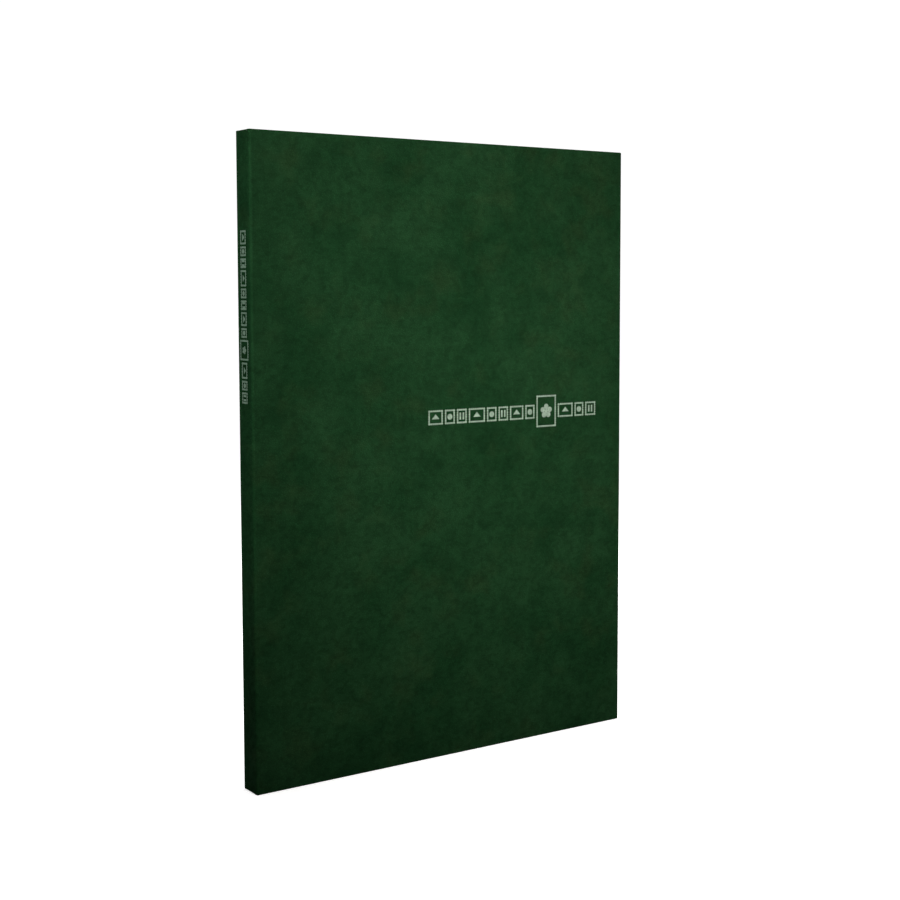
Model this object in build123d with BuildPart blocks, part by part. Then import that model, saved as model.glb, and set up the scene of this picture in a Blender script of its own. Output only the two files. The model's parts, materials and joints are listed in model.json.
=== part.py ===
"""Stamp album: a hard case bound round eight stock leaves, closed and standing on its tail edge.

Frame, in millimetres: the origin is at the middle of the tail edge, +X runs from the spine to the
fore-edge, -Y faces the front cover, +Z runs from tail to head. "Depth" is measured inwards from the
outer face of a cover, and "reach" from the outer face of the spine.
"""

import os
from math import cos, radians, sin

from build123d import *

# Driving dimensions: the album
WIDTH = 187.0
THICKNESS = 12.0
HEIGHT = 263.0

# The case: boards wrapped in cloth, lined with paper
CLOTH = 0.3
BOARD = 1.8
PAPER = 0.15
TURN_IN = 15.0
CORNER = 1.0  # radius of the cloth round the spine's corners, which is also the cover's hinge
LINER_MARGIN = 4.0  # cloth left bare round the pastedown
SPINE_FLAT = 7.4  # flat cloth of the spine between the two flexible joints
SPINE_BOARD = 6.7

# The text block
LEAVES = 8
MARGIN = 3.0  # page edges stay this far inside the cover at head and tail
FORE_MARGIN = 3.3
CARD = 0.35
FILM = 0.07
POCKET = 0.04
GLASSINE = 0.05
FLYLEAF = 0.12
LINEN = 0.1
CARD_CORNER = 3.0

# Pockets
ROWS = 5
STRIP_HEIGHT = 40.0
FIRST_STRIP = 5.0  # from the leaf's tail edge to the lowest strip
STRIP_INSET = 3.0  # from the leaf's fore-edge
STRIP_START = 7.5  # from the leaf's hinge
WELD = 1.5

# Binding
BLOCK_BACK = 2.1  # reach of the glued back of the text block
REBATE = 3.3  # reach where the outermost stubs start, which leaves room for the endpaper's fold
REBATE_DEPTH = 3.4
GLUE = 4.2
GUARD_START = 4.4
GUARD_LAP = 6.0
STUB_GAP = 0.6  # from the end of a stub to its leaf's hinge
LEAF_GAP = 2.2  # of bare linen between a leaf's hinge and its card
FLYLEAF_HINGE = 8.4
HINGE_CLEARANCE = 0.15
FOLD = 2.15  # reach of the endpaper's fold

# A cover opens almost flat, and the sheets of its half fan out behind it. Each sheet turns by this
# share of the cover's angle, from the outside in.
COVER_ANGLE = 178.0
OPENING = {
    "flyleaf": 0.8,
    "leaf_1": 0.7,
    "interleaf_1": 0.6,
    "leaf_2": 0.5,
    "interleaf_2": 0.4,
    "leaf_3": 0.3,
    "interleaf_3": 0.2,
    "leaf_4": 0.12,
    "interleaf_4": 0.05,
}

# Foil ornament: a row of small stamps and one large stamp, on the front and, smaller, on the spine
FOIL = 0.03
FRONT_ROW = (81.7, 146.9)  # reach of the row's start, and the height of its middle
SPINE_ROW = (0.3, 224.2)  # y of the row's middle, a little nearer the back cover, and its top
SPINE_SCALE = 0.75
STAMP_HEIGHT = 6.3
ROW_BEFORE = (7.4, 5.2, 5.2, 8.6, 5.2, 5.2, 7.4, 5.2)
ROW_AFTER = (8.6, 5.2, 6.0)
ROW_GAP = 0.95
FRONT_LARGE = (11.0, 14.2)
SPINE_LARGE = (8.2, 7.0)
STAMP_FRAME = 0.75
TOOTH_PITCH = 1.05
PERFORATION = 0.28  # radius
BAR_WIDTH = 0.8
BAR_PITCH = 1.6

# Motifs in the stamps, as shares of the stamp's height
DOT = 0.2
HILL_BASE = 0.6
HILL_SIDE = 0.45
BAR_HEIGHT = 0.48
PETALS = 5
PETAL_RING = 0.14
PETAL = 0.085
HEART = 0.06

# Worked out from those
SPINE_X = -WIDTH / 2
FORE_X = WIDTH / 2
FRONT_Y = -THICKNESS / 2
BOARD_INSIDE = CLOTH + BOARD
TURN_IN_INSIDE = BOARD_INSIDE + CLOTH
LINED = TURN_IN_INSIDE + PAPER
LEAF = CARD + 2 * (FILM + POCKET)
LEAF_Z = (MARGIN, HEIGHT - MARGIN)
LEAF_END = FORE_X - FORE_MARGIN
STRIP_PITCH = (HEIGHT - 2 * MARGIN - FIRST_STRIP) / ROWS


def reach(distance):
    """The x of a point this far from the outer face of the spine."""
    return SPINE_X + distance


def depth(near, far):
    """The y range between two depths under the front cover's outer face."""
    return (FRONT_Y + near, FRONT_Y + far)


def around(middle, thickness):
    """The range of this thickness about a middle."""
    return (middle - thickness / 2, middle + thickness / 2)


def slab(x, y, z, mode=Mode.ADD):
    """Adds the box between these limits to the part being built, or takes it away."""
    with BuildSketch(Plane.XY.offset(z[0])) as profile:
        with Locations((sum(x) / 2, sum(y) / 2)):
            Rectangle(x[1] - x[0], y[1] - y[0])
    extrude(profile.sketch, amount=z[1] - z[0], mode=mode)


def save(piece, name):
    """Labels a finished piece and writes it."""
    piece.part.label = name
    export_step(piece.part, f"parts/{name}.step")


def save_twins(piece, name):
    """Writes a piece of the front cover, and its mirror image for the back cover."""
    with BuildPart() as twin:
        mirror(piece.part, about=Plane.XZ)
    save(piece, f"front_{name}")
    save(twin, f"back_{name}")


def sheet_order():
    """The name and thickness of every sheet, from the front to the back."""
    sheets = [("front_flyleaf", FLYLEAF)]
    for number in range(1, LEAVES + 1):
        sheets.append((f"leaf_{number}", LEAF))
        if number < LEAVES:
            sheets.append((f"interleaf_{number}", GLASSINE))
    sheets.append(("back_flyleaf", FLYLEAF))
    return sheets


def sheet_levels():
    """The y of the middle of every sheet, spread evenly between the two lined covers."""
    sheets = sheet_order()
    inside = THICKNESS - 2 * LINED
    gap = (inside - sum(thickness for _, thickness in sheets)) / (len(sheets) + 1)
    levels = {}
    y = -inside / 2
    for name, thickness in sheets:
        y += gap
        levels[name] = y + thickness / 2
        y += thickness
    return levels


def front_half_twin(name):
    """The sheet of the front half that a sheet mirrors, as in OPENING."""
    kind, _, number = name.rpartition("_")
    if number == "flyleaf":
        return "flyleaf"
    last = LEAVES + 1 if kind == "leaf" else LEAVES
    return f"{kind}_{min(int(number), last - int(number))}"


def sheet_hinges():
    """How far from the spine each sheet's hinge lies. The hinges step away from the spine towards
    the middle of the block, so that an outer sheet, turned past upright, clears the inner ones."""
    names = list(OPENING)
    thicknesses = {"flyleaf": FLYLEAF, "leaf": LEAF, "interleaf": GLASSINE}
    levels = sheet_levels()
    hinges = {names[0]: FLYLEAF_HINGE}
    for outer, inner in zip(names, names[1:]):
        turned = radians(OPENING[outer] * COVER_ANGLE)
        apart = turned - radians(OPENING[inner] * COVER_ANGLE)
        outer_half, inner_half = (thicknesses[name.split("_")[0]] / 2 for name in (outer, inner))
        drop = levels[inner] - levels["front_flyleaf" if outer == "flyleaf" else outer]
        room = outer_half + inner_half * cos(apart) + HINGE_CLEARANCE - drop * cos(turned)
        hinges[inner] = hinges[outer] + room / sin(turned)
    return {name: hinges[front_half_twin(name)] for name, _ in sheet_order()}


LEVEL = sheet_levels()
HINGE = sheet_hinges()

os.makedirs("parts", exist_ok=True)

# Covers: board, cloth and pastedown, made for the front and mirrored for the back
COVER_X = (reach(CORNER), FORE_X)
with BuildPart() as board:
    slab((COVER_X[0], FORE_X - CLOTH), depth(CLOTH, BOARD_INSIDE), (CLOTH, HEIGHT - CLOTH))
save_twins(board, "board")

with BuildPart() as cover_cloth:
    slab(COVER_X, depth(0, TURN_IN_INSIDE), (0, HEIGHT))
    board_space = (COVER_X[0], FORE_X - CLOTH)
    slab(board_space, depth(CLOTH, BOARD_INSIDE), (CLOTH, HEIGHT - CLOTH), Mode.SUBTRACT)
    bare_board = (COVER_X[0], FORE_X - TURN_IN)
    between_turn_ins = (TURN_IN, HEIGHT - TURN_IN)
    slab(bare_board, depth(BOARD_INSIDE, TURN_IN_INSIDE), between_turn_ins, Mode.SUBTRACT)
save_twins(cover_cloth, "cover_cloth")

# The pastedown lies on the turn-ins at its edges and steps down onto the bare board between them
LINER_Z = (LINER_MARGIN, HEIGHT - LINER_MARGIN)
HOLLOW_Z = (TURN_IN + PAPER, HEIGHT - TURN_IN - PAPER)
with BuildPart() as pastedown:
    slab((reach(FOLD), FORE_X - LINER_MARGIN), depth(TURN_IN_INSIDE, LINED), LINER_Z)
    slab((reach(FOLD), bare_board[1]), depth(BOARD_INSIDE, LINED), between_turn_ins)
    hollow_x = (reach(FOLD), bare_board[1] - PAPER)
    slab(hollow_x, depth(BOARD_INSIDE + PAPER, LINED), HOLLOW_Z, Mode.SUBTRACT)
save_twins(pastedown, "pastedown")

# The endpaper's fold, in the hollow corner between the cover and the glued back of the block
with BuildPart() as endpaper_joint:
    wall = (reach(FOLD), reach(FOLD + PAPER))
    slab(wall, depth(LINED, REBATE_DEPTH), LINER_Z)
    slab(wall, depth(BOARD_INSIDE + PAPER, LINED), HOLLOW_Z)
    foot = (reach(FOLD + PAPER), reach(REBATE - PAPER))
    slab(foot, depth(REBATE_DEPTH - PAPER, REBATE_DEPTH), LINER_Z)
save_twins(endpaper_joint, "endpaper_joint")

# The cloth that bends round the corner between a cover and the spine, doubled by its turn-ins
with BuildPart() as joint_cloth:
    turned_in = ((0, TURN_IN), (HEIGHT - TURN_IN, HEIGHT))
    layers = [(0, (0, HEIGHT))] + [(CLOTH, ends) for ends in turned_in]
    for under, (bottom, top) in layers:
        with BuildSketch(Plane.XY.offset(bottom)) as corner_section:
            outer, inner = CORNER - under, CORNER - under - CLOTH
            centre = (reach(CORNER), FRONT_Y + CORNER)
            with BuildLine():
                outside = CenterArc(centre, outer, 180, 90)
                inside = CenterArc(centre, inner, 180, 90)
                spine_end = -SPINE_FLAT / 2
                Line(outside @ 1, inside @ 1)
                Line(outside @ 0, (centre[0] - outer, spine_end))
                Line((centre[0] - outer, spine_end), (centre[0] - inner, spine_end))
                Line((centre[0] - inner, spine_end), inside @ 0)
            make_face()
        extrude(corner_section.sketch, amount=top - bottom)
save_twins(joint_cloth, "joint_cloth")

# Spine of the case
SPINE_BOARD_Y = around(0, SPINE_BOARD)
with BuildPart() as spine_board:
    slab((reach(CLOTH), reach(BOARD_INSIDE - CLOTH)), SPINE_BOARD_Y, (CLOTH, HEIGHT - CLOTH))
save(spine_board, "spine_board")

SPINE_INSIDE = BOARD_INSIDE
with BuildPart() as spine_cloth:
    slab((reach(0), reach(CLOTH)), around(0, SPINE_FLAT), (0, HEIGHT))
    slab((reach(0), reach(SPINE_INSIDE)), SPINE_BOARD_Y, (0, HEIGHT))
    board_thickness = (reach(CLOTH), reach(SPINE_INSIDE - CLOTH))
    slab(board_thickness, SPINE_BOARD_Y, (CLOTH, HEIGHT - CLOTH), Mode.SUBTRACT)
    lining_space = (reach(SPINE_INSIDE - CLOTH), reach(SPINE_INSIDE))
    slab(lining_space, SPINE_BOARD_Y, between_turn_ins, Mode.SUBTRACT)
save(spine_cloth, "spine_cloth")

BLOCK_Y = around(0, THICKNESS - 2 * REBATE_DEPTH)
with BuildPart() as spine_lining:
    slab(lining_space, BLOCK_Y, between_turn_ins)
save(spine_lining, "spine_lining")


# Stubs: the inner margins of the sheets, which the glue holds
def stub_range(name):
    """The x range of a sheet's stub. The outermost stubs leave room for the endpaper's fold."""
    outermost = front_half_twin(name) in ("flyleaf", "leaf_1")
    start = REBATE if outermost else BLOCK_BACK + PAPER
    return (reach(start), reach(HINGE[name] - STUB_GAP))


def stubs(kind, thickness):
    """One strip for each sheet of a kind, as separate solids."""
    with BuildPart() as strips:
        for name, _ in sheet_order():
            if name.startswith(kind) or name.endswith(kind):
                slab(stub_range(name), around(LEVEL[name], thickness), LEAF_Z)
    return strips


leaf_stubs = stubs("leaf_", CARD)
interleaf_stubs = stubs("interleaf_", GLASSINE)
flyleaf_stubs = stubs("_flyleaf", FLYLEAF)
save(leaf_stubs, "leaf_stubs")
save(interleaf_stubs, "interleaf_stubs")
save(flyleaf_stubs, "flyleaf_stubs")

# The glue grips the back edges of all the stubs like a comb
with BuildPart() as binding_glue:
    slab((reach(BLOCK_BACK), reach(GLUE)), BLOCK_Y, LEAF_Z)
    flyleaf_outside = LEVEL["back_flyleaf"] + FLYLEAF / 2
    slab((reach(REBATE - PAPER), reach(GLUE)), around(0, 2 * flyleaf_outside), LEAF_Z)
    for held in (leaf_stubs, interleaf_stubs, flyleaf_stubs):
        add(held.part, mode=Mode.SUBTRACT)
save(binding_glue, "binding_glue")


# Stock leaves
def leaf_card(number):
    """The black card of a leaf, with rounded corners at the fore-edge."""
    start = reach(HINGE[f"leaf_{number}"] + LEAF_GAP)
    with BuildPart() as card:
        slab((start, LEAF_END), around(LEVEL[f"leaf_{number}"], CARD), LEAF_Z)
        fillet(card.edges().filter_by(Axis.Y).group_by(Axis.X)[-1], CARD_CORNER)
    return card


def leaf_pockets(number):
    """Five clear strips on each face of a leaf, welded to the card at the foot and at both ends."""
    start = reach(HINGE[f"leaf_{number}"] + STRIP_START)
    end = LEAF_END - STRIP_INSET
    middle = LEVEL[f"leaf_{number}"]
    with BuildPart() as strips:
        for face in (-1, 1):
            card_face = middle + face * CARD / 2
            pocket = sorted((card_face, card_face + face * POCKET))
            film = sorted((card_face, card_face + face * (POCKET + FILM)))
            for row in range(ROWS):
                foot = MARGIN + FIRST_STRIP + row * STRIP_PITCH
                top = foot + STRIP_HEIGHT
                slab((start, end), film, (foot, top))
                slab((start + WELD, end - WELD), pocket, (foot + WELD, top), Mode.SUBTRACT)
    return strips


def leaf_guard(number):
    """Linen on both faces of the hinge, from the stub across the gap to the card."""
    name = f"leaf_{number}"
    level = LEVEL[name]
    with BuildPart() as guard:
        guard_x = (reach(GUARD_START), reach(HINGE[name] + GUARD_LAP))
        slab(guard_x, around(level, CARD + 2 * LINEN), LEAF_Z)
        for card_x in (
            (guard_x[0], reach(HINGE[name] - STUB_GAP)),
            (reach(HINGE[name] + LEAF_GAP), guard_x[1]),
        ):
            slab(card_x, around(level, CARD), LEAF_Z, Mode.SUBTRACT)
    return guard


for number in range(1, LEAVES + 1):
    save(leaf_card(number), f"leaf_{number}_card")
    save(leaf_pockets(number), f"leaf_{number}_pockets")
    save(leaf_guard(number), f"leaf_{number}_guard")

# Glassine interleaves and paper flyleaves
for name, thickness in sheet_order():
    if not name.startswith("leaf"):
        with BuildPart() as loose_sheet:
            slab((reach(HINGE[name]), LEAF_END), around(LEVEL[name], thickness), LEAF_Z)
        save(loose_sheet, name)


# Foil ornament
def stamp(width, height, motif):
    """Draws one stamp in the sketch being built: a perforated frame with a plain motif in it."""
    across, up = round(width / TOOTH_PITCH), round(height / TOOTH_PITCH)
    with BuildSketch(mode=Mode.PRIVATE) as face:
        Rectangle(width, height)
        with GridLocations(width / across, height, across + 1, 2):
            Circle(PERFORATION, mode=Mode.SUBTRACT)
        with GridLocations(width, height / up, 2, up - 1):
            Circle(PERFORATION, mode=Mode.SUBTRACT)
        Rectangle(width - 2 * STAMP_FRAME, height - 2 * STAMP_FRAME, mode=Mode.SUBTRACT)
        if motif == "dot":
            Circle(height * DOT)
        elif motif == "hill":
            Triangle(a=height * HILL_BASE, b=height * HILL_SIDE, c=height * HILL_SIDE)
        elif motif == "bars":
            with GridLocations(BAR_PITCH, 1, 2, 1):
                Rectangle(BAR_WIDTH, height * BAR_HEIGHT)
        else:
            with PolarLocations(height * PETAL_RING, PETALS, 90):
                Circle(height * PETAL)
            Circle(height * HEART)
    return face.sketch


def ornament(plane, scale, large):
    """The row of stamps on a plane whose x axis runs along the row, from the row's start."""
    motifs = ("hill", "dot", "bars")
    small = [(scale * width, scale * STAMP_HEIGHT) for width in ROW_BEFORE + ROW_AFTER]
    sizes = small[: len(ROW_BEFORE)] + [large] + small[len(ROW_BEFORE) :]
    with BuildPart() as foil:
        with BuildSketch(plane) as row:
            place = 0
            for index, (width, height) in enumerate(sizes):
                motif = "blossom" if index == len(ROW_BEFORE) else motifs[index % len(motifs)]
                with Locations((place + width / 2, 0)):
                    add(stamp(width, height, motif))
                place += width + scale * ROW_GAP
        extrude(row.sketch, amount=FOIL)
    return foil


front_start = (reach(FRONT_ROW[0]), FRONT_Y, FRONT_ROW[1])
front_plane = Plane(front_start, x_dir=(1, 0, 0), z_dir=(0, -1, 0))
save(ornament(front_plane, 1, FRONT_LARGE), "front_ornament")
spine_plane = Plane((SPINE_X, *SPINE_ROW), x_dir=(0, 0, -1), z_dir=(-1, 0, 0))
save(ornament(spine_plane, SPINE_SCALE, SPINE_LARGE), "spine_ornament")
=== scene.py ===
"""Looks of the stamp album: a hard-cover stock book in dark green leatherette, standing upright.

The frame's x runs from the spine to the fore-edge, the front cover faces -y, and z is up. "Reach"
is the distance from the outer face of the spine. "Depth" is the distance inwards from the outer
face of a cover. Everything here is in metres.
"""

import json
import math

import bmesh
import bpy
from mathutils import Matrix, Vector

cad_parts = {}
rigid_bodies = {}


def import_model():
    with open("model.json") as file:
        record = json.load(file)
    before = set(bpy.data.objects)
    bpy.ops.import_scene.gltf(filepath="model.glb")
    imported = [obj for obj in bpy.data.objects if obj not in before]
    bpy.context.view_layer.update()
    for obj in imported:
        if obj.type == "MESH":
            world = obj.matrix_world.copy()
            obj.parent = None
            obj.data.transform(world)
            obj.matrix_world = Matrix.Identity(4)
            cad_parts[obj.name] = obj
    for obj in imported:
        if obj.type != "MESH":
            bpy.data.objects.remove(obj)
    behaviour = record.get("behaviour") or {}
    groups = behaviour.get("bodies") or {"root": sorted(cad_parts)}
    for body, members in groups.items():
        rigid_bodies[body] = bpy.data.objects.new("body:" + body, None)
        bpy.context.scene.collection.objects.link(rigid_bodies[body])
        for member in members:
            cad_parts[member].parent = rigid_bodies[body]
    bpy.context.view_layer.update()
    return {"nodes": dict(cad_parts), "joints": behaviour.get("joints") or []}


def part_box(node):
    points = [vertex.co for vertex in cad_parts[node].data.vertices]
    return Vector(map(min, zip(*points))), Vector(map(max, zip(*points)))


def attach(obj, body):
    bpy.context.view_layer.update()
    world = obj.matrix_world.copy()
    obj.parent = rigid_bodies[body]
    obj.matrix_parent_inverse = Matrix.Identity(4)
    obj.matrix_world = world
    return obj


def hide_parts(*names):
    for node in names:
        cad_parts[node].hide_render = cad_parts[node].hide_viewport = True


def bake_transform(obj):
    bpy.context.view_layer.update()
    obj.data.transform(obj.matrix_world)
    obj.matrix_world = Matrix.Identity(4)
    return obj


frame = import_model()

MM = 0.001
FRONT, BACK = -1, 1
SIDES = {"front": FRONT, "back": BACK}
LEAVES = 8

# The case, from the frame. The front cover gives the sizes of both covers.
spine_low, spine_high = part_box("spine_cloth")
cover_low, cover_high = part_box("front_cover_cloth")
SPINE_X = spine_low.x
SPINE_THICK = spine_high.x - SPINE_X
SPINE_END_Y = spine_high.y
HINGE_X = cover_low.x
CORNER = HINGE_X - SPINE_X
FORE_X = cover_high.x
COVER_Y = -cover_low.y
COVER_THICK = COVER_Y + cover_high.y
HEIGHT = cover_high.z
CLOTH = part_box("front_board")[0].z
BOARD_INSIDE = COVER_THICK - CLOTH
TURN_IN = 15 * MM
EDGE = 0.5 * MM  # radius of the cloth round the edge of a board

# The endpapers, from the frame: the pastedown, and the fold with its wall and its foot
paste_low, paste_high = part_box("front_pastedown")
fold_low, fold_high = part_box("front_endpaper_joint")
PAPER = COVER_Y + paste_high.y - COVER_THICK
PASTE_LOW_Z = paste_low.z
PASTE_END_X = paste_high.x
PASTE_START_X = SPINE_X + 3.6 * MM
WALL_X = fold_low.x
FOOT_X = fold_high.x
FOOT_Y = -fold_high.y
STEP_START = TURN_IN - 0.2 * MM  # where the pastedown steps down from the turn-ins to the board
STEP_WIDTH = 1.4 * MM

# The sheets
STUB_END_GAP = 0.6 * MM  # from the end of a stub to its sheet's hinge
PAPER_BEND = 1.4 * MM
COCKLE = 0.08 * MM
STRIPS = 5
STRIP_HEIGHT = 40 * MM
WELD = 1.5 * MM
HINGES = {joint["child"]: Vector(joint["pos_m"]) for joint in frame["joints"]}


# ---------------------------------------------------------------- mesh helpers
def finish_piece(name, bm, material, smooth=35):
    """Makes an object of a bmesh. It is shaded smooth except at edges over this angle."""
    bmesh.ops.remove_doubles(bm, verts=bm.verts, dist=1e-7)
    bmesh.ops.dissolve_degenerate(bm, edges=bm.edges, dist=1e-7)
    bmesh.ops.recalc_face_normals(bm, faces=bm.faces)
    for face in bm.faces:
        face.smooth = True
    for edge in bm.edges:
        edge.smooth = edge.is_manifold and edge.calc_face_angle(0) < math.radians(smooth)
    mesh = bpy.data.meshes.new(name)
    bm.to_mesh(mesh)
    bm.free()
    mesh.materials.append(material)
    piece = bpy.data.objects.new(name, mesh)
    bpy.context.scene.collection.objects.link(piece)
    return piece


def arc(centre, radius, start, end, steps):
    """Points of an arc in a plane, between two angles in degrees."""
    angles = [math.radians(start + (end - start) * k / steps) for k in range(steps + 1)]
    return [(centre[0] + radius * math.cos(a), centre[1] + radius * math.sin(a)) for a in angles]


def spaced(start, end, steps):
    """Evenly spaced values from start to end."""
    return [start + (end - start) * k / steps for k in range(steps + 1)]


def ease(value):
    """Smooth step from 0 to 1."""
    t = min(max(value, 0), 1)
    return t * t * (3 - 2 * t)


def add_strips(bm, rows, loop=False):
    """Joins rows of vertices with quads. In a loop, each row's last vertex joins its first."""
    for row, following in zip(rows, rows[1:]):
        for k in range(len(row) if loop else len(row) - 1):
            after = (k + 1) % len(row)
            bm.faces.new((row[k], row[after], following[after], following[k]))


def add_tube(bm, rings):
    """Joins rings of points into a closed tube with flat ends."""
    rows = [[bm.verts.new(point) for point in ring] for ring in rings]
    add_strips(bm, rows, loop=True)
    bm.faces.new(rows[0])
    bm.faces.new(reversed(rows[-1]))


def add_plate(bm, front_grid, back_grid):
    """A closed plate between two grids of points of the same size."""
    faces = [[[bm.verts.new(point) for point in row] for row in grid] for grid in (front_grid, back_grid)]
    for rows in faces:
        add_strips(bm, rows)
    rims = []
    for rows in faces:
        down = [row[-1] for row in rows[1:-1]]
        up = [row[0] for row in reversed(rows[1:-1])]
        rims.append(rows[0] + down + list(reversed(rows[-1])) + up)
    add_strips(bm, rims, loop=True)


# ---------------------------------------------------------------- the case
def cover_contour(inset, depth, side, corner, groove=None):
    """One line round a cover, at an inset from its edges and a depth under its outer face: from the
    joint along the tail, up the fore-edge and back along the head. Its corners are rounded, or have
    a groove half this wide, where two turn-ins meet."""
    steps = 8
    radius = max(corner - inset, 0)
    points = [(HINGE_X, inset, depth)]
    for z_edge, up in ((0, 1), (HEIGHT, -1)):
        turn = []
        for k in range(steps + 1):
            if groove:
                offset = (2 * k / steps - 1) * groove
                dip = 0.8 * CLOTH if abs(offset) < 0.6 * groove else 0
                x = FORE_X - inset - max(-offset, 0)
                z = z_edge + up * (inset + max(offset, 0))
                turn.append((x, z, depth - dip))
            else:
                angle = math.radians(90 * k / steps)
                x = FORE_X - inset - radius * (1 - math.sin(angle))
                z = z_edge + up * (inset + radius * (1 - math.cos(angle)))
                turn.append((x, z, depth))
        points += turn if up == 1 else reversed(turn)
    points.append((HINGE_X, HEIGHT - inset, depth))
    return [(x, side * (COVER_Y - d), z) for x, z, d in points]


def wrapped_cover(name, side, material):
    """The cloth of a cover: the outer face, rounded edges, and turn-ins mitred at the corners."""
    panel = 20 * MM  # inset of the flat middle of the cover
    groove = 0.35 * MM  # half the width of the mitre's groove
    profile = [(panel, 0, None)]
    profile += [(i, d, None) for i, d in arc((EDGE, EDGE), EDGE, 270, 180, 5)]
    profile += [(i, d, None) for i, d in arc((EDGE, COVER_THICK - EDGE), EDGE, 180, 90, 5)]
    profile += [(2 * EDGE, COVER_THICK, groove), (TURN_IN - 0.1 * MM, COVER_THICK, groove)]
    profile += [(TURN_IN, COVER_THICK - 0.1 * MM, groove), (TURN_IN, BOARD_INSIDE, None)]
    profile += [(CLOTH, BOARD_INSIDE, None), (CLOTH, CLOTH, None), (panel, CLOTH, None)]
    bm = bmesh.new()
    rows = []
    for inset, depth, seam in profile:
        rows.append([bm.verts.new(p) for p in cover_contour(inset, depth, side, EDGE, seam)])
    add_strips(bm, rows)
    bm.faces.new(rows[0])
    bm.faces.new(reversed(rows[-1]))
    bm.faces.new([row[0] for row in rows] + [row[-1] for row in reversed(rows)])
    return finish_piece(f"{name}_cover_leatherette", bm, material)


def joint_skin(along, under, side):
    """A point of the cloth round the hinge corner: along runs from 0 at the spine's end to 1 at the
    cover, and under is the distance below its outer face."""
    centre_y = COVER_Y - CORNER
    straight = centre_y - SPINE_END_Y
    length = straight + CORNER * math.pi / 2
    gone = along * length
    if gone < straight:
        return (SPINE_X + under, side * (SPINE_END_Y + gone))
    angle = (gone - straight) / CORNER
    radius = CORNER - under
    return (HINGE_X - radius * math.cos(angle), side * (centre_y + radius * math.sin(angle)))


def folded_cloth():
    """Outline of the joint's cloth as (under, z): one layer, turned in on itself at head and tail."""
    fold = CLOTH
    outline = arc((fold, HEIGHT - fold), fold, 180, 0, 8)
    outline += [(2 * CLOTH, HEIGHT - TURN_IN), (CLOTH, HEIGHT - TURN_IN)]
    outline += [(CLOTH, TURN_IN), (2 * CLOTH, TURN_IN)]
    return outline + arc((fold, fold), fold, 0, -180, 8)


def joint_cloth(name, side, material):
    """The cloth that bends round the corner between the spine and a cover."""
    outline = folded_cloth()
    bm = bmesh.new()
    rings = []
    for along in spaced(0, 1, 20):
        rings.append([(*joint_skin(along, under, side), z) for under, z in outline])
    add_tube(bm, rings)
    return finish_piece(f"{name}_joint_leatherette", bm, material)


def spine_wrap(material):
    """The cloth of the spine, wrapped round the head and the tail of the spine's board."""
    inner = SPINE_THICK - CLOTH
    top = HEIGHT - EDGE
    outline = arc((EDGE, top), EDGE, 180, 90, 5) + arc((SPINE_THICK - EDGE, top), EDGE, 90, 0, 5)
    outline += [(SPINE_THICK, HEIGHT - TURN_IN), (inner, HEIGHT - TURN_IN)]
    outline += [(inner, HEIGHT - CLOTH), (CLOTH, HEIGHT - CLOTH), (CLOTH, CLOTH), (inner, CLOTH)]
    outline += [(inner, TURN_IN), (SPINE_THICK, TURN_IN)]
    outline += arc((SPINE_THICK - EDGE, EDGE), EDGE, 0, -90, 5) + arc((EDGE, EDGE), EDGE, 270, 180, 5)
    bm = bmesh.new()
    ends = (-SPINE_END_Y, SPINE_END_Y)
    add_tube(bm, [[(SPINE_X + under, y, z) for under, z in outline] for y in ends])
    return finish_piece("spine_leatherette", bm, material)


# ---------------------------------------------------------------- endpapers
def lining_depth(x, z):
    """Depth of the pastedown's face, which steps down softly from the turn-ins to the board."""
    inset = min(z, HEIGHT - z, FORE_X - x)
    down = ease((inset - STEP_START) / STEP_WIDTH)
    return PAPER + COVER_THICK + (BOARD_INSIDE - COVER_THICK) * down


def step_insets():
    """Insets across the pastedown's step, and a little beyond it on both sides."""
    beyond = 0.1 * MM
    return spaced(STEP_START - beyond, STEP_START + STEP_WIDTH + beyond, 6)


def lining_rows():
    """Heights of the rows of points on the endpapers, close together on the two steps."""
    far = [HEIGHT - inset for inset in reversed(step_insets())]
    return [PASTE_LOW_Z] + step_insets() + far + [HEIGHT - PASTE_LOW_Z]


def pastedown(name, side, material):
    """The lining of a cover, from the joint to its three free edges."""
    step = [FORE_X - inset for inset in reversed(step_insets())]
    columns = [PASTE_START_X] + step + [PASTE_END_X]
    grids = []
    for under in (0, 0.9 * PAPER):
        grid = []
        for z in lining_rows():
            grid.append([(x, side * (COVER_Y - lining_depth(x, z) + under), z) for x in columns])
        grids.append(grid)
    bm = bmesh.new()
    add_plate(bm, *grids)
    return finish_piece(f"{name}_pastedown_paper", bm, material)


def endpaper_joint(name, side, material):
    """The fold of the endpaper in the gap beside the text block: from the pastedown round to the
    shoulder of the block, where it is glued."""
    paper = 0.12 * MM
    foot_depth = COVER_Y - FOOT_Y - PAPER / 2
    grids = ([], [])
    for z in lining_rows():
        top_depth = lining_depth(PASTE_START_X, z) - PAPER / 2
        radius = (foot_depth - top_depth) / 2
        centre = (WALL_X + PAPER / 2 + radius, (foot_depth + top_depth) / 2)
        line = [(x, top_depth, 90) for x in spaced(PASTE_START_X, centre[0], 8)[:-1]]
        for turn in spaced(90, 270, 28):
            a = math.radians(turn)
            line.append((centre[0] + radius * math.cos(a), centre[1] - radius * math.sin(a), turn))
        line += [(x, foot_depth, 270) for x in spaced(centre[0], FOOT_X, 4)[1:]]
        for grid, half in zip(grids, (paper / 2, -paper / 2)):
            row = []
            for x, depth, turn in line:
                a = math.radians(turn)
                row.append((x + half * math.cos(a), side * (COVER_Y - depth + half * math.sin(a)), z))
            grid.append(row)
    bm = bmesh.new()
    add_plate(bm, *grids)
    return finish_piece(f"{name}_endpaper_fold", bm, material)


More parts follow.
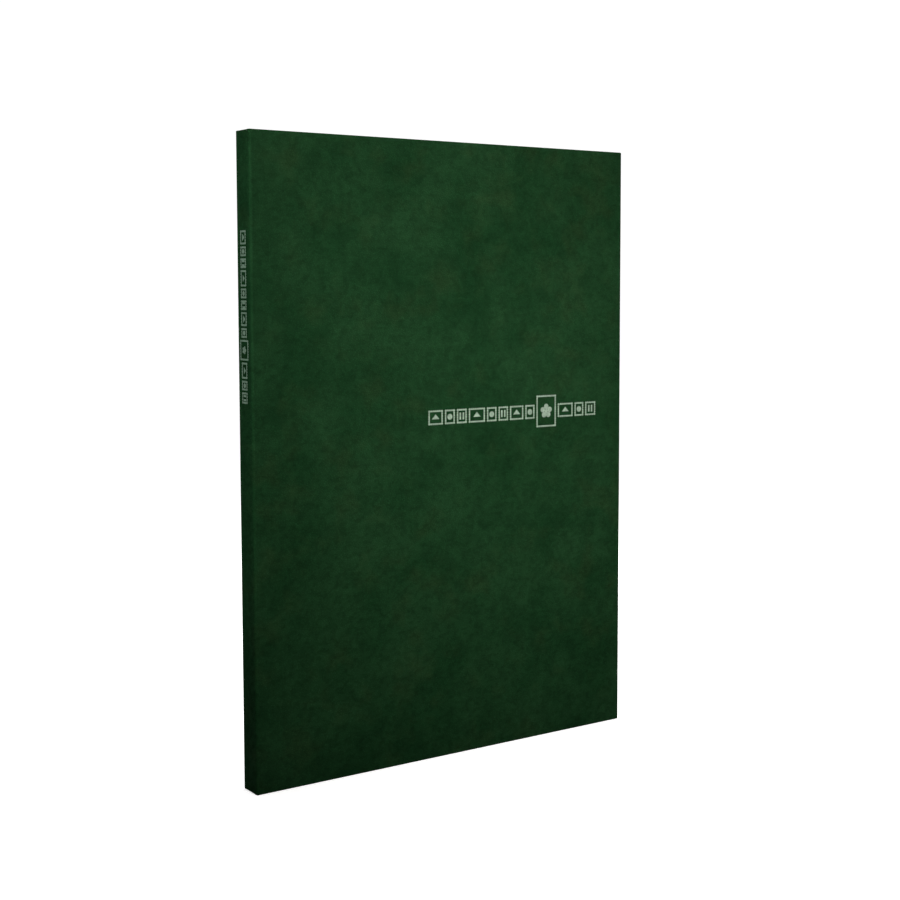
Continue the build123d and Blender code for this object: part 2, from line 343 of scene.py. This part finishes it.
def cockle(x, z, start_x, turn):
    """How far a sheet stands out of its plane: shallow waves that fade out towards its hinge. The
    turn shifts the waves, so that no two sheets are alike."""
    across, up = (x - start_x) / MM, z / MM
    waves = math.sin(across / 11 + 0.6 * math.sin(up / 37) + turn)
    waves += 0.5 * math.sin(up / 17 + across / 61 + 2 * turn)
    return COCKLE * waves / 1.5 * ease(across / 25)


def hinged_sheet(name, thickness, material):
    """A flyleaf or an interleaf, slightly cockled, from the end of its stub to the fore-edge."""
    low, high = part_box(name)
    hinge = HINGES[f"{name}_sheet"]
    bend_x = hinge.x + PAPER_BEND
    columns = [hinge.x - STUB_END_GAP] + spaced(hinge.x, bend_x, 12) + spaced(bend_x, high.x, 32)[1:]
    turn = 1.9 * hinge.y / MM
    grids = []
    for face in (-thickness / 2, thickness / 2):
        grid = []
        for z in spaced(low.z, high.z, 40):
            grid.append([(x, hinge.y + face + cockle(x, z, bend_x, turn), z) for x in columns])
        grids.append(grid)
    bm = bmesh.new()
    add_plate(bm, *grids)
    return finish_piece(f"{name}_paper", bm, material)


def linen_guard(number, material):
    """The linen hinge of a leaf: one layer on each face of stub and card, pressed together between."""
    name = f"leaf_{number}"
    low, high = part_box(f"{name}_guard")
    card_low, card_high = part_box(f"{name}_card")
    hinge = HINGES[name]
    half = (high.y - low.y) / 2
    card_half = (card_high.y - card_low.y) / 2
    stub_x = hinge.x - STUB_END_GAP
    card_x = card_low.x
    pressed = 0.55 * half
    soft = 0.5 * MM

    def outer(x):
        """Half the linen's thickness, which thins softly between the stub and the card."""
        near_stub = ease((stub_x + soft - x) / soft)
        near_card = ease((x - card_x + soft) / soft)
        return pressed + (half - pressed) * max(near_stub, near_card)

    thin_edge = (high.x, card_half + 0.03 * MM)
    columns = [low.x] + spaced(stub_x, card_x, 18) + [high.x - 0.2 * MM]
    top = [(x, outer(x)) for x in columns] + [thin_edge]
    loop = top + [(high.x, card_half), (card_x, card_half)]
    loop += [(card_x, -card_half), (high.x, -card_half)]
    loop += [(x, -y) for x, y in reversed(top)]
    loop += [(low.x, -card_half), (stub_x, -card_half), (stub_x, card_half), (low.x, card_half)]
    bm = bmesh.new()
    add_tube(bm, [[(x, hinge.y + y, z) for x, y in loop] for z in (low.z, high.z)])
    return finish_piece(f"{name}_linen", bm, material)


# ---------------------------------------------------------------- materials
def rgb(red, green, blue):
    """An opaque colour."""
    return (red, green, blue, 1)


class Recipe:
    """Builds one procedural material, with its textures laid out in the frame, in millimetres.
    Values that are the same everywhere are given by the name of the shader's socket."""

    def __init__(self, name, **values):
        self.material = bpy.data.materials.new(name)
        self.material.use_nodes = True
        self.nodes = self.material.node_tree.nodes
        self.links = self.material.node_tree.links
        self.shader = self.nodes["Principled BSDF"]
        for key, value in values.items():
            self.shader.inputs[key.replace("_", " ").title().replace("Ior", "IOR")].default_value = value
        where = self.nodes.new("ShaderNodeTexCoord")
        self.place = self.vector("SCALE", where.outputs["Object"], scale=1 / MM)

    def put(self, socket, value):
        """Links a socket to another, or sets its value."""
        if isinstance(value, bpy.types.NodeSocket):
            self.links.new(value, socket)
        else:
            socket.default_value = value

    def vector(self, operation, a, b=None, scale=None):
        """One step of vector arithmetic."""
        node = self.nodes.new("ShaderNodeVectorMath")
        node.operation = operation
        self.put(node.inputs[0], a)
        if b is not None:
            self.put(node.inputs[1], b)
        if scale is not None:
            node.inputs["Scale"].default_value = scale
        return node.outputs[0]

    def noise(self, size, detail=3, rough=0.5, distort=0, stretch=None):
        """Noise with features of about this size in millimetres, stretched along some axes."""
        node = self.nodes.new("ShaderNodeTexNoise")
        node.inputs["Scale"].default_value = 1 / size
        node.inputs["Detail"].default_value = detail
        node.inputs["Roughness"].default_value = rough
        node.inputs["Distortion"].default_value = distort
        place = self.vector("DIVIDE", self.place, stretch) if stretch else self.place
        self.links.new(place, node.inputs["Vector"])
        return node.outputs["Fac"]

    def pebbles(self, size):
        """Irregular cells of about this size in millimetres: 0 in the creases, more inside."""
        wander = self.nodes.new("ShaderNodeTexNoise")
        wander.inputs["Scale"].default_value = 0.8 / size
        self.links.new(self.place, wander.inputs["Vector"])
        shift = self.vector("SCALE", wander.outputs["Color"], scale=0.7 * size)
        node = self.nodes.new("ShaderNodeTexVoronoi")
        node.feature = "DISTANCE_TO_EDGE"
        node.inputs["Scale"].default_value = 1 / size
        self.links.new(self.vector("ADD", self.place, shift), node.inputs["Vector"])
        return node.outputs["Distance"]

    def along(self, axis):
        """The place along X, Y or Z, in millimetres."""
        split = self.nodes.new("ShaderNodeSeparateXYZ")
        self.links.new(self.place, split.inputs[0])
        return split.outputs[axis]

    def waves(self, pitch, axis):
        """Even waves, this many millimetres from one to the next along X, Y or Z."""
        turns = self.math("MULTIPLY", self.along(axis), 2 * math.pi / pitch)
        return self.math("MULTIPLY_ADD", self.math("SINE", turns), 0.5, 0.5)

    def math(self, operation, a, b=0.0, c=0.0):
        """One step of arithmetic."""
        node = self.nodes.new("ShaderNodeMath")
        node.operation = operation
        for socket, value in zip(node.inputs, (a, b, c)):
            self.put(socket, value)
        return node.outputs[0]

    def spread(self, value, low, high, to_low=0.0, to_high=1.0):
        """Maps a range of a value smoothly to another range, and stops at its ends."""
        node = self.nodes.new("ShaderNodeMapRange")
        node.interpolation_type = "SMOOTHSTEP"
        node.inputs["From Min"].default_value = low
        node.inputs["From Max"].default_value = high
        node.inputs["To Min"].default_value = to_low
        node.inputs["To Max"].default_value = to_high
        self.links.new(value, node.inputs["Value"])
        return node.outputs[0]

    def mix(self, factor, a, b, blend="MIX"):
        """Mixes two colours."""
        node = self.nodes.new("ShaderNodeMix")
        node.data_type = "RGBA"
        node.blend_type = blend
        colors = [socket for socket in node.inputs if socket.type == "RGBA"]
        self.put(node.inputs[0], factor)
        self.put(colors[0], a)
        self.put(colors[1], b)
        return [socket for socket in node.outputs if socket.type == "RGBA"][0]

    def color(self, value):
        """Gives the shader its colour."""
        self.links.new(value, self.shader.inputs["Base Color"])

    def tint(self, value, dark, light, low=0.3, high=0.7):
        """Colours the shader between a dark and a light tone by a value."""
        self.color(self.mix(self.spread(value, low, high), rgb(*dark), rgb(*light)))

    def roughness(self, value, low, high):
        """Spreads the shader's roughness from low to high by a value."""
        self.links.new(self.spread(value, 0.3, 0.7, low, high), self.shader.inputs["Roughness"])

    def relief(self, height, depth):
        """A relief this many millimetres deep."""
        node = self.nodes.new("ShaderNodeBump")
        node.inputs["Strength"].default_value = 1.0
        node.inputs["Distance"].default_value = depth * MM
        self.links.new(height, node.inputs["Height"])
        self.links.new(node.outputs[0], self.shader.inputs["Normal"])
        return self.material


def leatherette(name="leatherette", painted_highlight=1.0):
    """Matt leatherette, mottled like suede: soft clouds, small dark flecks and a fine pebble grain
    that is darker in its creases, as painted shade. Its colour is made lighter by the last
    argument: a painted highlight on the cloth that bends round the spine's corners."""
    recipe = Recipe(name, specular_ior_level=0.03)
    clouds = recipe.noise(30, 3, 0.55, 0.4)
    patches = recipe.noise(7, 4, 0.6, 0.8)
    flecks = recipe.noise(1.9, 3, 0.6, 0.5, stretch=(1.4, 1.4, 1))
    warm = recipe.noise(13, 3, 0.5)
    pebbles = recipe.pebbles(0.8)
    deep = rgb(0.0079, 0.0425, 0.0134)
    bright = rgb(0.0136, 0.0570, 0.0194)
    brown = rgb(0.0260, 0.0530, 0.0174)
    base = recipe.mix(recipe.spread(clouds, 0.3, 0.7), deep, bright)
    base = recipe.mix(recipe.spread(warm, 0.5, 0.75, 0, 0.28), base, brown)
    # The last argument lightens the whole colour: a painted highlight on the joint cloth.
    light = recipe.spread(patches, 0.3, 0.7, 0.86 * painted_highlight, 1.11 * painted_highlight)
    dark = recipe.spread(flecks, 0.36, 0.56, 0.87, 1.03)
    # Darker in the creases of the pebble grain: painted shade.
    crease_shade = recipe.spread(pebbles, 0.0, 0.35, 0.81, 1.05)
    level = recipe.math("MULTIPLY", recipe.math("MULTIPLY", light, dark), crease_shade)
    recipe.color(recipe.mix(1.0, base, level, "MULTIPLY"))
    recipe.roughness(flecks, 0.82, 0.66)
    grain = recipe.math("MULTIPLY_ADD", recipe.spread(pebbles, 0.0, 0.4), 0.5, flecks)
    return recipe.relief(grain, 0.10)


def hot_foil():
    """Satin silver-green foil that takes up the grain of the cloth under it."""
    recipe = Recipe("hot_foil", metallic=0.45)
    wear_and_highlight = recipe.noise(1.1, 4, 0.65)
    recipe.tint(wear_and_highlight, (0.27, 0.38, 0.29), (0.42, 0.58, 0.445))
    recipe.roughness(wear_and_highlight, 0.52, 0.36)
    return recipe.relief(recipe.noise(0.5, 3, 0.6), 0.03)


def greyboard():
    """Pulp board: grey with lighter and darker fibres."""
    recipe = Recipe("greyboard", roughness=0.9, specular_ior_level=0.25)
    fibres = recipe.noise(0.7, 4, 0.7, 0.6, stretch=(2.5, 1, 1))
    recipe.tint(fibres, (0.20, 0.185, 0.16), (0.36, 0.34, 0.30))
    return recipe.relief(fibres, 0.05)


def endpaper():
    """Uncoated off-white paper with faint fibres."""
    recipe = Recipe("endpaper", specular_ior_level=0.3)
    fibres = recipe.noise(1.2, 4, 0.65, 0.5)
    cloudy = recipe.math("MULTIPLY", recipe.noise(14, 3, 0.5), 0.6)
    pulp = recipe.math("MULTIPLY_ADD", fibres, 0.4, cloudy)
    recipe.tint(pulp, (0.68, 0.655, 0.58), (0.76, 0.735, 0.665))
    recipe.roughness(fibres, 0.78, 0.9)
    return recipe.relief(fibres, 0.02)


def mull():
    """Starched cotton mull: an open plain weave."""
    recipe = Recipe("mull", roughness=0.9, specular_ior_level=0.2)
    weave = recipe.math("MAXIMUM", recipe.waves(0.8, "Z"), recipe.waves(0.8, "Y"))
    recipe.tint(weave, (0.42, 0.39, 0.31), (0.74, 0.71, 0.62), 0.2, 0.9)
    return recipe.relief(weave, 0.12)


def hot_melt():
    """Cream hot-melt glue, slightly glossy, with shallow ripples."""
    recipe = Recipe("hot_melt", subsurface_weight=0.2, subsurface_scale=0.001)
    ripples = recipe.noise(3.5, 2, 0.5, 0.3)
    recipe.tint(ripples, (0.66, 0.60, 0.43), (0.78, 0.73, 0.57))
    recipe.roughness(ripples, 0.38, 0.52)
    return recipe.relief(ripples, 0.25)


def black_card():
    """Matt black card with a felt-like grain."""
    recipe = Recipe("black_card", specular_ior_level=0.35)
    felt = recipe.noise(0.6, 4, 0.65, 0.5)
    recipe.tint(felt, (0.008, 0.008, 0.009), (0.021, 0.021, 0.022))
    recipe.roughness(felt, 0.72, 0.9)
    return recipe.relief(felt, 0.03)


def clear_film():
    """Clear, stiff film with soft ripples in its gloss, frosted where a strip's foot is welded."""
    recipe = Recipe("clear_film", base_color=rgb(0.08, 0.083, 0.086), specular_ior_level=1.0)
    ripples = recipe.noise(22, 2, 0.4, 0.5, stretch=(2.5, 1, 1))
    strips_low, strips_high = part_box("leaf_1_pockets")
    pitch = (strips_high.z - STRIP_HEIGHT - strips_low.z) / (STRIPS - 1)
    above_foot = recipe.math("SUBTRACT", recipe.along("Z"), strips_low.z / MM)
    above_foot = recipe.math("MODULO", above_foot, pitch / MM)
    weld = recipe.math("LESS_THAN", above_foot, WELD / MM)
    gloss = recipe.spread(ripples, 0.3, 0.7, 0.04, 0.12)
    rough = recipe.math("MULTIPLY_ADD", weld, 0.4, gloss)
    haze = recipe.math("MULTIPLY_ADD", weld, 0.35, 0.3)
    recipe.links.new(rough, recipe.shader.inputs["Roughness"])
    recipe.links.new(haze, recipe.shader.inputs["Alpha"])
    return recipe.relief(ripples, 0.12)


def glassine_paper():
    """Glassine: hazy, supercalendered paper that shows what lies under it."""
    recipe = Recipe("glassine", alpha=0.6, specular_ior_level=0.45)
    cloudy = recipe.noise(9, 4, 0.6, 0.3)
    recipe.tint(cloudy, (0.74, 0.75, 0.72), (0.84, 0.85, 0.81))
    recipe.roughness(cloudy, 0.34, 0.48)
    return recipe.relief(recipe.noise(18, 2, 0.5, stretch=(1, 1, 2.5)), 0.15)


def black_linen():
    """Black book linen: fine plain weave with uneven threads."""
    recipe = Recipe("black_linen", roughness=0.75, specular_ior_level=0.35)
    uneven = recipe.noise(2.2, 3, 0.6, stretch=(1, 1, 3))
    weave = recipe.math("MULTIPLY", recipe.waves(0.55, "Z"), recipe.waves(0.55, "X"))
    threads = recipe.math("MULTIPLY_ADD", weave, 0.7, recipe.math("MULTIPLY", uneven, 0.5))
    recipe.tint(threads, (0.006, 0.006, 0.007), (0.034, 0.034, 0.036), 0.2, 0.9)
    return recipe.relief(threads, 0.08)


# ---------------------------------------------------------------- the pieces on their bodies
def place_on(piece, body, node):
    """Puts a piece on one body, in place of a node."""
    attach(piece, body)
    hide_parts(node)


def bend_between(piece, node):
    """Bakes a piece's placement into its mesh, in place of a node, which it hides. The piece rides on no
    body.
    """
    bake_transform(piece)
    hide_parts(node)


def dress_case(cloth, wear_and_highlight, paper):
    """The cloth of the case, made lighter where it bends round the spine's corners as a painted
    highlight, and the endpapers.
    """
    place_on(spine_wrap(cloth), "spine", "spine_cloth")
    for name, side in SIDES.items():
        cover = f"{name}_cover"
        place_on(wrapped_cover(name, side, cloth), cover, f"{cover}_cloth")
        place_on(pastedown(name, side, paper), cover, f"{name}_pastedown")
        # The joint cloth takes the lighter leatherette: a painted highlight round the spine's corner.
        joint = joint_cloth(name, side, wear_and_highlight)
        bend_between(joint, f"{name}_joint_cloth")
        fold = endpaper_joint(name, side, paper)
        bend_between(fold, f"{name}_endpaper_joint")


def dress_leaves(linen):
    """The linen hinges of the stock leaves."""
    for number in range(1, LEAVES + 1):
        name = f"leaf_{number}"
        bend_between(linen_guard(number, linen), f"{name}_guard")


def dress_sheets(paper, glassine):
    """The flyleaves and the interleaves, each in place of its node."""
    names = ["front_flyleaf", "back_flyleaf"] + [f"interleaf_{n}" for n in range(1, LEAVES)]
    for name in names:
        low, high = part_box(name)
        slot, material = ("endpaper", paper) if "flyleaf" in name else ("glassine", glassine)
        sheet = hinged_sheet(name, high.y - low.y, material)
        bend_between(sheet, name)


def dress_nodes(paper, glassine):
    """Gives the CAD nodes that stay as they are their materials, by the ending of their names. The
    last ending that fits is the one that counts."""
    card = black_card()
    looks = {
        "ornament": hot_foil(),
        "board": greyboard(),
        "lining": mull(),
        "glue": hot_melt(),
        "card": card,
        "leaf_stubs": card,
        "pockets": clear_film(),
        "interleaf_stubs": glassine,
        "flyleaf_stubs": paper,
    }
    for name, node in frame["nodes"].items():
        for ending, look in looks.items():
            if name.endswith(ending):
                node.data.materials[0] = look


def dress_album():
    """Builds the new pieces, puts the case's cloth and pastedowns on their bodies, and gives everything
    its material.
    """
    paper = endpaper()
    glassine = glassine_paper()
    # The joint cloth's leatherette is 12% lighter: a painted highlight where it bends round the spine's
    # corners.
    dress_case(leatherette(), leatherette("worn_leatherette", 1.12), paper)
    dress_leaves(black_linen())
    dress_sheets(paper, glassine)
    dress_nodes(paper, glassine)


# ---------------------------------------------------------------- floor, lights and camera
CAMERA_AZIMUTH = -35.41
CAMERA_ELEVATION = 4.46
CAMERA_DISTANCE = 0.654
AIM = Vector((0.0191, -0.0111, 0.1525))
LENS = 60.77
SHIFT = (-0.05, -0.053)

# Colours of the lamps
WHITE = (1.0, 1.0, 1.0)
WARM = (1.1, 1.0, 0.98)
COOL = (0.92, 1.0, 0.97)

OUTSIDE = ("leatherette", "ornament", "floor")  # endings of what the page lights leave alone


def direction(azimuth, elevation):
    """From the object towards a viewer. Azimuth 0 is in front of the front cover."""
    a, e = math.radians(azimuth), math.radians(elevation)
    return Vector((math.sin(a) * math.cos(e), -math.cos(a) * math.cos(e), math.sin(e)))


def aimed(thing, place, target):
    """Puts a lamp or camera in its place, facing its target."""
    thing.location = place
    thing.rotation_euler = (Vector(target) - Vector(place)).to_track_quat("-Z", "Y").to_euler()
    bpy.context.scene.collection.objects.link(thing)
    return thing


def area_light(name, place, target, power, size=0.2, spread=180, color=WHITE):
    """A square soft light of this many watts, whose beam is narrowed to this angle."""
    light = bpy.data.lights.new(name, "AREA")
    light.color = color
    light.shape = "SQUARE"
    light.size = size
    light.energy = power
    light.spread = math.radians(spread)
    lamp = aimed(bpy.data.objects.new(name, light), place, target)
    lamp.visible_camera = False
    return lamp


def camera():
    """A level view of the front cover, from the spine's side."""
    lens = bpy.data.cameras.new("camera")
    lens.lens = LENS
    lens.sensor_width = 36
    lens.shift_x, lens.shift_y = SHIFT
    place = AIM + direction(CAMERA_AZIMUTH, CAMERA_ELEVATION) * CAMERA_DISTANCE
    bpy.context.scene.camera = aimed(bpy.data.objects.new("camera", lens), place, AIM)


def seen_or_lit(nodes, links, seen, lit):
    """A colour that is one grey to the camera and another in the light it gives."""
    path = nodes.new("ShaderNodeLightPath")
    mixed = nodes.new("ShaderNodeMix")
    mixed.data_type = "RGBA"
    colors = [socket for socket in mixed.inputs if socket.type == "RGBA"]
    colors[0].default_value = rgb(lit, lit, lit)
    colors[1].default_value = rgb(seen, seen, seen)
    links.new(path.outputs["Is Camera Ray"], mixed.inputs[0])
    return [socket for socket in mixed.outputs if socket.type == "RGBA"][0]


def surroundings():
    """A white room that gives little light, and a pale floor that throws little back."""
    world = bpy.data.worlds.new("room")
    bpy.context.scene.world = world
    world.use_nodes = True
    nodes, links = world.node_tree.nodes, world.node_tree.links
    room = seen_or_lit(nodes, links, seen=1.05, lit=0.05)
    links.new(room, nodes["Background"].inputs["Color"])

    recipe = Recipe("floor", roughness=0.9, specular_ior_level=0.0, emission_strength=1.0)
    recipe.color(seen_or_lit(recipe.nodes, recipe.links, seen=0.85, lit=0.10))
    glow = seen_or_lit(recipe.nodes, recipe.links, seen=0.55, lit=0.0)
    recipe.links.new(glow, recipe.shader.inputs["Emission Color"])
    bm = bmesh.new()
    bmesh.ops.create_grid(bm, x_segments=1, y_segments=1, size=40)
    finish_piece("floor", bm, recipe.material)


def lights():
    """A soft sky, and narrow soft lamps that leave the album darker towards its tail."""
    sky = bpy.data.lights.new("sky", "SUN")
    sky.energy = 1.7
    sky.angle = math.radians(40)
    aimed(bpy.data.objects.new("sky", sky), (0, 0, 2), (0, 0, 0))
    area_light("key", (-0.05, -0.45, 0.50), (0.0, 0.0, 0.20), power=0.132, spread=45, color=WARM)
    area_light("upper_front", (0.10, -0.50, 0.42), (0.02, 0.0, 0.21), power=0.037, spread=35, color=WARM)
    area_light("lower_front", (0.25, -0.45, 0.22), (0.08, 0.0, 0.10), power=0.052, spread=40, color=WARM)
    area_light("spine_side", (-0.50, -0.16, 0.45), (-0.09, 0.0, 0.21), power=0.088, spread=35, color=COOL)
    area_light("behind", (0.40, 0.35, 0.50), (0.0, 0.0, 0.18), power=4.5, size=0.25)


def page_lights():
    """Two lamps that light the inside of the album alone, and show the pages when it is open."""
    pages = bpy.data.collections.new("pages")
    for thing in bpy.data.objects:
        if thing.type == "MESH" and not thing.name.endswith(OUTSIDE):
            pages.objects.link(thing)
    for name, side in SIDES.items():
        place = (0.1, 1.2 * side, 0.9)
        lamp = area_light(f"{name}_pages", place, (0.0, 0.0, 0.12), power=14.0, size=0.7)
        lamp.light_linking.receiver_collection = pages


dress_album()
bpy.context.scene.view_settings.view_transform = "Standard"
camera()
surroundings()
lights()
page_lights()
